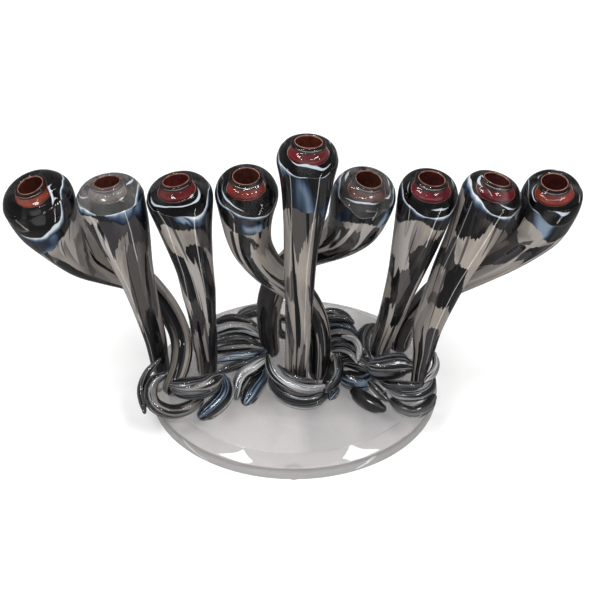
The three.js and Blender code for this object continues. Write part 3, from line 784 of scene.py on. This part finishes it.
def oval_skin(name, node, profile, sides, material):
    """Smooth oval on a CAD node's box, from rows of mm above its foot and mm in from its edge."""
    low, high = (np.array(c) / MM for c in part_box(node))
    centre, half = (low + high) / 2, (high - low) / 2
    turn = full_turn(sides)
    rings = []
    for height, inset in profile:
        rings.append(np.stack([centre[0] + (half[0] - inset) * np.cos(turn),
                               centre[1] + (half[1] - inset) * np.sin(turn),
                               np.full(sides, low[2] + height)], -1))
    piece = skin(name, np.array(rings), material)
    piece.visible_shadow = False
    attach(piece, "root")
    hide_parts(node)


def plate_profile():
    """The plate's section: flat foot, upright edge and a nearly flat bevel up to the flat top."""
    rise = PLATE_THICK - PLATE_EDGE
    foot = [(0.0, PLATE_INSIDE), (0.0, 20.0), (0.0, 1.0), (0.0, 0.45), (0.12, 0.12), (0.45, 0.0)]
    edge = [(PLATE_EDGE - 0.5, 0.0)]
    bevel = [(PLATE_EDGE + rise * up, BEVEL_WIDE * into) for up, into in BEVEL]
    top = [(PLATE_THICK, BEVEL_WIDE + 0.8), (PLATE_THICK, BEVEL_WIDE + 12.0),
           (PLATE_THICK, PLATE_INSIDE)]
    return foot + edge + bevel + top


oval_skin("clear_base_plate", "base_plate", plate_profile(), PLATE_SIDES, PLATE)
for index in range(1, 5):
    oval_skin(f"clear_bumper_{index}", f"bumper_{index}", BUMPER_PROFILE, BUMPER_SIDES, BUMPER)


# ---------------------------------------------------------------- floor, light, camera
FLOOR_HALF = 6          # m from the middle of the floor to its edges
FLOOR_DROP = 0.0002     # m that the floor lies below the bumpers
NEAR_GLOW = 0.20        # painted light: the floor's own glow round the menorah, which lightens the shadows there
FAR_GLOW = 0.60         # how much brighter it gets far away
FAR_FROM, FAR_TO = 0.5, 1.6     # m from the middle where that starts and is complete
ROOM_LIGHT = 0.36       # brightness of the room as it lights the glass
MIRRORED = 0.20         # the same where the glass mirrors it
BACKDROP = 1.0          # brightness of the backdrop itself
LAMPS_AT = (0, 0, 0.1)  # m, the point that the lamps face


def floor_material():
    """Plain pale floor that glows a little, as painted light."""
    n = Nodes("studio_floor")
    place = n.add("ShaderNodeTexCoord").outputs["Object"]
    tone = n.mix(n.noise(place, 6.0), *FLOOR_TONES)
    # the floor stays pale far away, where the studio lamps don't reach
    far = n.add("ShaderNodeVectorMath", {0: place}, operation="LENGTH").outputs["Value"]
    glow = n.math("MULTIPLY_ADD", n.step(far, FAR_FROM, FAR_TO), FAR_GLOW, NEAR_GLOW)
    return n.set(Base_Color=tone, Roughness=0.9, Emission_Color=tone, Emission_Strength=glow)


corners = [(x * FLOOR_HALF, y * FLOOR_HALF, 0) for x, y in ((-1, -1), (1, -1), (1, 1), (-1, 1))]
floor_mesh = bpy.data.meshes.new("studio_floor")
floor_mesh.from_pydata(corners, [], [(0, 1, 2, 3)])
floor = bpy.data.objects.new("studio_floor", floor_mesh)
floor.location.z = -FLOOR_DROP
floor.visible_glossy = False
floor_mesh.materials.append(floor_material())
bpy.context.scene.collection.objects.link(floor)

# The room is one even brightness as a backdrop, and dimmer as a light and as a reflection.
world = bpy.data.worlds.new("studio")
bpy.context.scene.world = world
world.use_nodes = True
backdrop = world.node_tree.nodes["Background"]
backdrop.inputs[0].default_value = (1.0, 0.995, 0.99, 1.0)
sight = world.node_tree.nodes.new("ShaderNodeLightPath")
level = world.node_tree.nodes.new("ShaderNodeMapRange")
level.inputs["To Max"].default_value = BACKDROP
world.node_tree.links.new(sight.outputs["Is Camera Ray"], level.inputs["Value"])
mirror = world.node_tree.nodes.new("ShaderNodeMapRange")
mirror.inputs["To Min"].default_value = ROOM_LIGHT
mirror.inputs["To Max"].default_value = MIRRORED
world.node_tree.links.new(sight.outputs["Is Glossy Ray"], mirror.inputs["Value"])
world.node_tree.links.new(mirror.outputs[0], level.inputs["To Min"])
world.node_tree.links.new(level.outputs[0], backdrop.inputs[1])


def softbox(name, where, size, power, target=LAMPS_AT, mirrored=True):
    """A rectangular lamp, in m and W, which the glass mirrors unless told otherwise."""
    lamp = bpy.data.lights.new(name, "AREA")
    lamp.shape = "RECTANGLE"
    lamp.size, lamp.size_y = size
    lamp.energy = power
    box = bpy.data.objects.new(name, lamp)
    box.location = where
    box.rotation_mode = "QUATERNION"
    box.rotation_quaternion = (Vector(target) - Vector(where)).to_track_quat("-Z", "Y")
    box.visible_glossy = mirrored
    bpy.context.scene.collection.objects.link(box)


softbox("top_light", (0.0, -0.1, 1.2), (2.2, 1.8), 10.0, target=(0, 0, 0.08), mirrored=False)
softbox("window_left", (-0.56, -0.30, 1.30), (0.38, 0.20), 3.4)
softbox("window_right", (0.64, -0.30, 1.30), (0.38, 0.20), 3.4)
softbox("front_tube", (0.25, -0.72, 1.3), (1.7, 0.022), 2.6)
for spark, x in enumerate((-0.45, 0.1, 0.6)):
    softbox(f"spark_{spark}", (x, -0.75, 1.2), (0.03, 0.03), 0.5)
softbox("back_tube", (-0.2, 0.35, 1.4), (1.2, 0.03), 2.6)
# upright glass seen from above mirrors what is low down: these give it its long thin highlights
softbox("low_strip_right", (0.52, -0.46, -0.30), (0.045, 0.75), 0.75)
softbox("low_strip_left", (-0.62, -0.18, -0.30), (0.035, 0.75), 0.42)

# The photograph's viewing angle: metres right of the plate's middle, back and up, and degrees down.
VIEW_RIGHT, VIEW_BACK, VIEW_UP = 0.00336, -0.51396, 0.50757
VIEW_DOWN = 40.5
LENS = 75.5
SENSOR = 36.0
camera = bpy.data.objects.new("camera", bpy.data.cameras.new("camera"))
camera.data.lens = LENS
camera.data.sensor_width = SENSOR
camera.data.clip_start, camera.data.clip_end = 0.01, 50.0
camera.location = ((PLATE_LOW.x + PLATE_HIGH.x) / 2 + VIEW_RIGHT, VIEW_BACK, VIEW_UP)
camera.rotation_euler = (math.radians(90 - VIEW_DOWN), 0.0, 0.0)
bpy.context.scene.collection.objects.link(camera)
bpy.context.scene.camera = camera
bpy.context.scene.view_settings.view_transform = "Standard"
bpy.context.scene.view_settings.look = "None"
